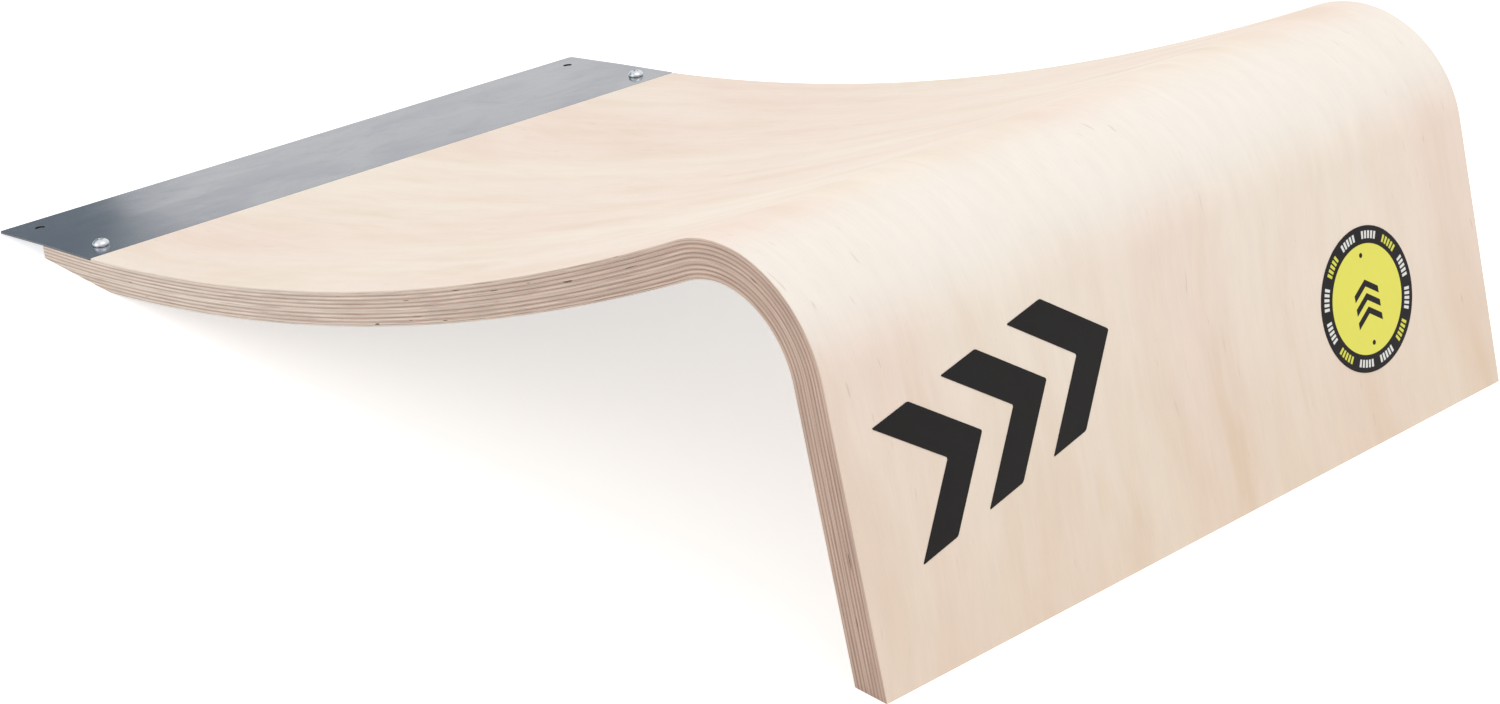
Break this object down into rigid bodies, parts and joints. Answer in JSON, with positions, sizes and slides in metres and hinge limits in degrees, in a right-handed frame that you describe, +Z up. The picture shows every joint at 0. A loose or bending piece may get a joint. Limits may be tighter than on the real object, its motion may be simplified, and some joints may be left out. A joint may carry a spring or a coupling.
{
  "type": "jump ramp",
  "caption": "Low kicker ramp: a bent plywood deck that curves up to a rounded crest and down a back leg, with a steel plate at its entry.",
  "frame": {"origin": "centre of the box's bottom face, on the floor that the ramp stands on", "axes": "+Y along the ride, from the entry plate towards the crest and the leg; +X across the ramp, to the rider's right; +Z up"},
  "size_m": [0.5, 0.82, 0.2],
  "materials": {
    "birch_face": "satin lacquered pale veneer, fine grain along the ramp",
    "birch_long_grain": "sawn and sanded edge, grain along the ramp",
    "birch_cross_grain": "sawn and sanded end grain, darker",
    "steel_sheet": "smooth rolled sheet, blue-grey",
    "zinc_plated": "bright zinc plated",
    "label_film": "printed film, yellow with a black ring",
    "black_film": "black film, satin"
  },
  "bodies": {
    "root": {"threshold_plate": "steel_sheet", "veneer_01_face_long_grain": "birch_face", "veneer_02_long_grain": "birch_long_grain", "veneer_03_cross_grain": "birch_cross_grain", "veneer_04_long_grain": "birch_long_grain", "veneer_05_cross_grain": "birch_cross_grain", "veneer_06_long_grain": "birch_long_grain", "veneer_07_cross_grain": "birch_cross_grain", "veneer_08_long_grain": "birch_long_grain", "veneer_09_cross_grain": "birch_cross_grain", "veneer_10_long_grain": "birch_long_grain", "veneer_11_long_grain": "birch_long_grain", "veneer_12_cross_grain": "birch_cross_grain", "veneer_13_long_grain": "birch_long_grain", "veneer_14_cross_grain": "birch_cross_grain", "veneer_15_long_grain": "birch_long_grain", "veneer_16_cross_grain": "birch_cross_grain", "veneer_17_long_grain": "birch_long_grain", "veneer_18_back_long_grain": "birch_face", "plate_screw_left": "zinc_plated", "plate_screw_right": "zinc_plated", "tee_nut_left": "zinc_plated", "tee_nut_right": "zinc_plated", "round_label": "label_film", "chevron_decal_1": "black_film", "chevron_decal_2": "black_film", "chevron_decal_3": "black_film"}
  },
  "joints": []
}
